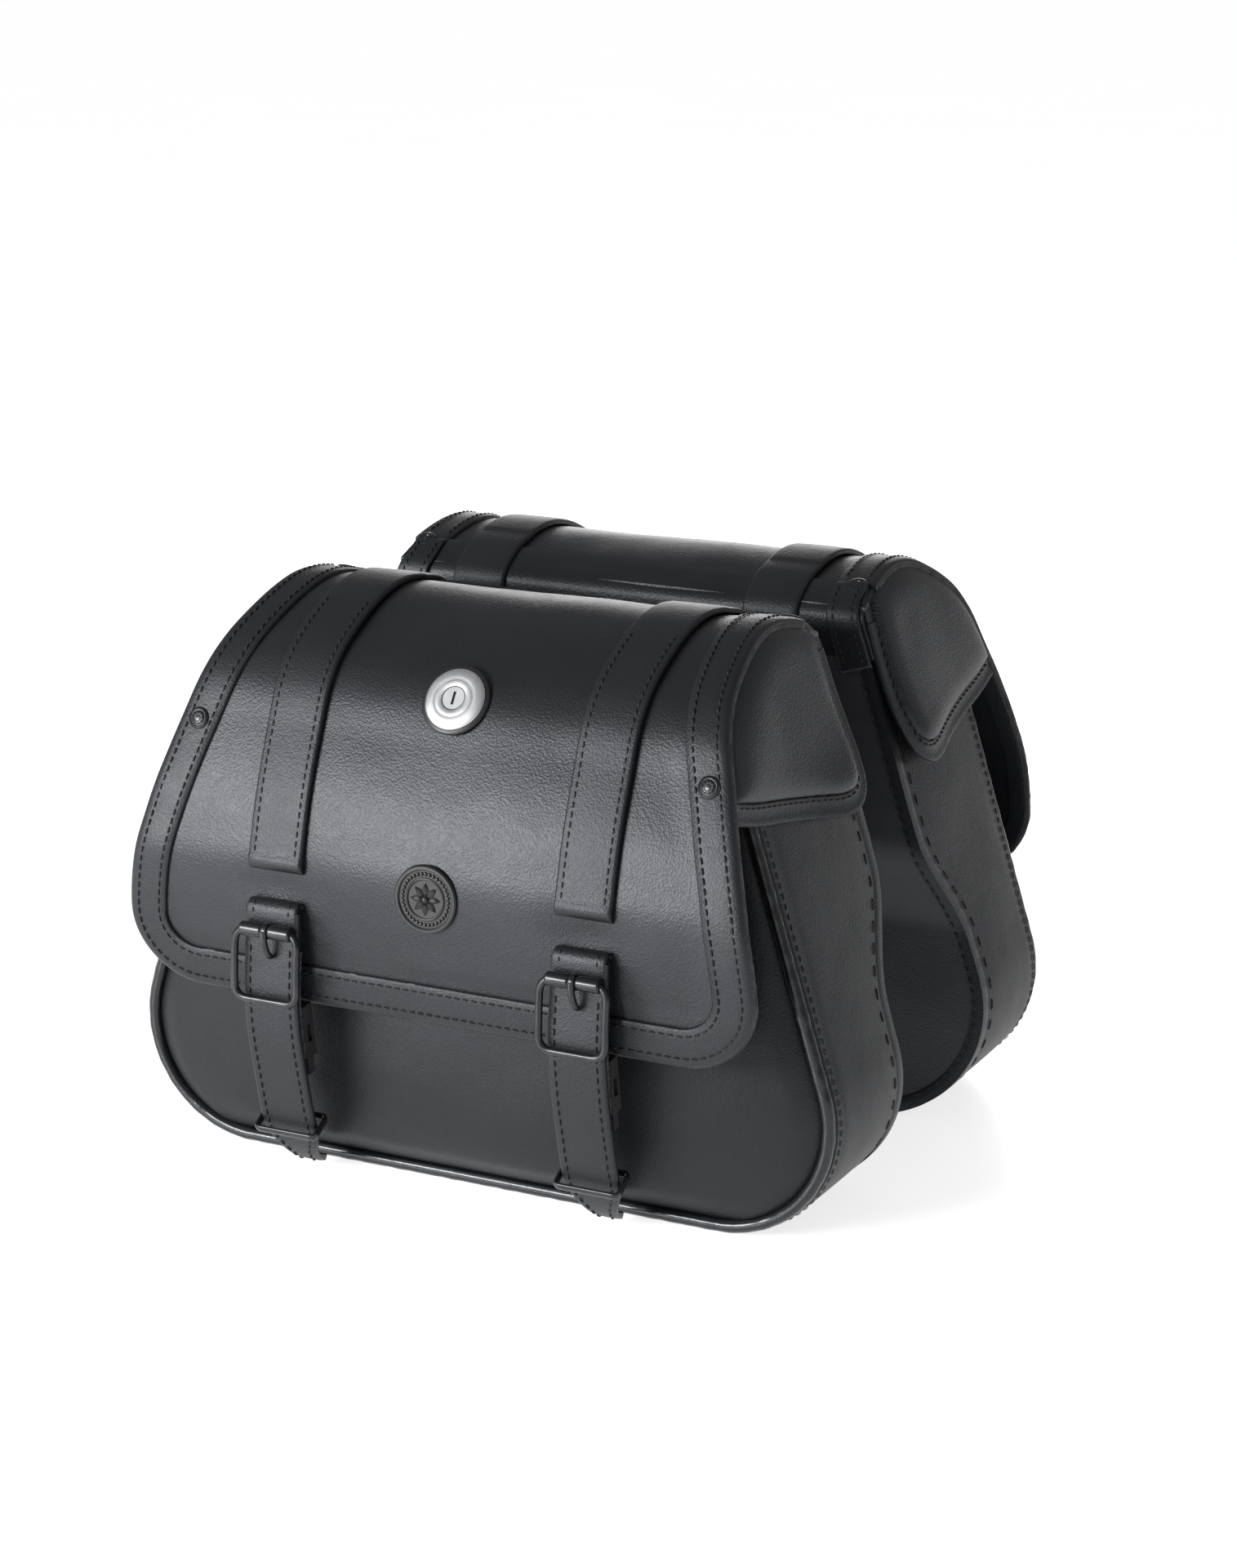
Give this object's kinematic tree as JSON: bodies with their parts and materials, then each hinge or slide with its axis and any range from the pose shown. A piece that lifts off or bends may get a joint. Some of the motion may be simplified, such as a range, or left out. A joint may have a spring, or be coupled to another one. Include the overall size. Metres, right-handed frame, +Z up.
{
  "type": "motorcycle saddlebag pair",
  "caption": "Pair of leather motorcycle saddlebags joined by a yoke, with hinged lids, buckled straps, quick-release clips and key locks.",
  "frame": {"origin": "bottom centre of the pair: on the mid-plane between the two bags, at the middle of their length, on the surface that they stand on", "axes": "+X along the bags, +Y from the left bag to the right bag, +Z up"},
  "size_m": [0.4084, 0.4138, 0.3085],
  "materials": {
    "leather": "satin",
    "strap_leather": "satin",
    "binding": "satin",
    "piping": "gloss",
    "badge": "satin",
    "thread": "matte",
    "plastic": "matte",
    "black_metal": "satin",
    "chrome": "polished"
  },
  "bodies": {
    "root": {"yoke_straps": "strap_leather", "yoke_screws": "black_metal", "left_gusset": "leather", "left_front_panel": "leather", "left_back_panel": "leather", "left_piping": "piping", "left_stiffeners": "plastic", "left_grommets": "black_metal", "left_hinge_straps": "strap_leather", "left_lock_striker": "black_metal", "right_gusset": "leather", "right_front_panel": "leather", "right_back_panel": "leather", "right_piping": "piping", "right_stiffeners": "plastic", "right_grommets": "black_metal", "right_hinge_straps": "strap_leather", "right_lock_striker": "black_metal"},
    "left_lid": {"left_lid_panel": "leather", "left_lid_binding": "binding", "left_lid_ears": "leather", "left_lid_straps": "strap_leather", "left_lid_rivets": "black_metal", "left_badge": "badge", "left_lock_housing": "chrome", "left_buckle_straps": "strap_leather", "left_buckle_tabs": "strap_leather", "left_buckle_sleeves": "black_metal", "left_strap_keepers": "black_metal", "left_clip_sockets": "plastic"},
    "left_lock": {"left_lock_core": "chrome", "left_lock_cam": "black_metal"},
    "left_fore_frame": {"left_fore_buckle_frame": "black_metal"},
    "left_fore_prong": {"left_fore_prong": "black_metal"},
    "left_fore_clip": {"left_fore_clip_plug": "plastic"},
    "left_aft_frame": {"left_aft_buckle_frame": "black_metal"},
    "left_aft_prong": {"left_aft_prong": "black_metal"},
    "left_aft_clip": {"left_aft_clip_plug": "plastic"},
    "right_lid": {"right_lid_panel": "leather", "right_lid_binding": "binding", "right_lid_ears": "leather", "right_lid_straps": "strap_leather", "right_lid_rivets": "black_metal", "right_badge": "badge", "right_lock_housing": "chrome", "right_buckle_straps": "strap_leather", "right_buckle_tabs": "strap_leather", "right_buckle_sleeves": "black_metal", "right_strap_keepers": "black_metal", "right_clip_sockets": "plastic"},
    "right_lock": {"right_lock_core": "chrome", "right_lock_cam": "black_metal"},
    "right_fore_frame": {"right_fore_buckle_frame": "black_metal"},
    "right_fore_prong": {"right_fore_prong": "black_metal"},
    "right_fore_clip": {"right_fore_clip_plug": "plastic"},
    "right_aft_frame": {"right_aft_buckle_frame": "black_metal"},
    "right_aft_prong": {"right_aft_prong": "black_metal"},
    "right_aft_clip": {"right_aft_clip_plug": "plastic"}
  },
  "joints": [
    {"name": "left_lid_hinge", "type": "hinge", "parent": "root", "child": "left_lid", "pos_m": [0, -0.027, 0.2865], "axis": [-1, 0, 0], "range_deg": [0, 85]},
    {"name": "left_lock_turn", "type": "hinge", "parent": "left_lid", "child": "left_lock", "pos_m": [0, -0.158, 0.267], "axis": [0, 0.8298, -0.558], "range_deg": [0, 90]},
    {"name": "left_fore_frame_swing", "type": "hinge", "parent": "left_lid", "child": "left_fore_frame", "pos_m": [0.0888, -0.2024, 0.145], "axis": [-1, 0, 0], "range_deg": [0, 60]},
    {"name": "left_fore_prong_swing", "type": "hinge", "parent": "left_lid", "child": "left_fore_prong", "pos_m": [0.0888, -0.2024, 0.145], "axis": [-1, 0, 0], "range_deg": [0, 85]},
    {"name": "left_fore_clip_slide", "type": "slide", "parent": "left_lid", "child": "left_fore_clip", "axis": [0, 0.1564, -0.9877], "range_m": [0, 0.024]},
    {"name": "left_aft_frame_swing", "type": "hinge", "parent": "left_lid", "child": "left_aft_frame", "pos_m": [-0.0888, -0.2024, 0.145], "axis": [-1, 0, 0], "range_deg": [0, 60]},
    {"name": "left_aft_prong_swing", "type": "hinge", "parent": "left_lid", "child": "left_aft_prong", "pos_m": [-0.0888, -0.2024, 0.145], "axis": [-1, 0, 0], "range_deg": [0, 85]},
    {"name": "left_aft_clip_slide", "type": "slide", "parent": "left_lid", "child": "left_aft_clip", "axis": [0, 0.1564, -0.9877], "range_m": [0, 0.024]},
    {"name": "right_lid_hinge", "type": "hinge", "parent": "root", "child": "right_lid", "pos_m": [0, 0.027, 0.2865], "axis": [1, 0, 0], "range_deg": [0, 85]},
    {"name": "right_lock_turn", "type": "hinge", "parent": "right_lid", "child": "right_lock", "pos_m": [0, 0.158, 0.267], "axis": [0, 0.8298, 0.558], "range_deg": [0, 90]},
    {"name": "right_fore_frame_swing", "type": "hinge", "parent": "right_lid", "child": "right_fore_frame", "pos_m": [0.0888, 0.2024, 0.145], "axis": [1, 0, 0], "range_deg": [0, 60]},
    {"name": "right_fore_prong_swing", "type": "hinge", "parent": "right_lid", "child": "right_fore_prong", "pos_m": [0.0888, 0.2024, 0.145], "axis": [1, 0, 0], "range_deg": [0, 85]},
    {"name": "right_fore_clip_slide", "type": "slide", "parent": "right_lid", "child": "right_fore_clip", "axis": [0, -0.1564, -0.9877], "range_m": [0, 0.024]},
    {"name": "right_aft_frame_swing", "type": "hinge", "parent": "right_lid", "child": "right_aft_frame", "pos_m": [-0.0888, 0.2024, 0.145], "axis": [1, 0, 0], "range_deg": [0, 60]},
    {"name": "right_aft_prong_swing", "type": "hinge", "parent": "right_lid", "child": "right_aft_prong", "pos_m": [-0.0888, 0.2024, 0.145], "axis": [1, 0, 0], "range_deg": [0, 85]},
    {"name": "right_aft_clip_slide", "type": "slide", "parent": "right_lid", "child": "right_aft_clip", "axis": [0, -0.1564, -0.9877], "range_m": [0, 0.024]}
  ]
}
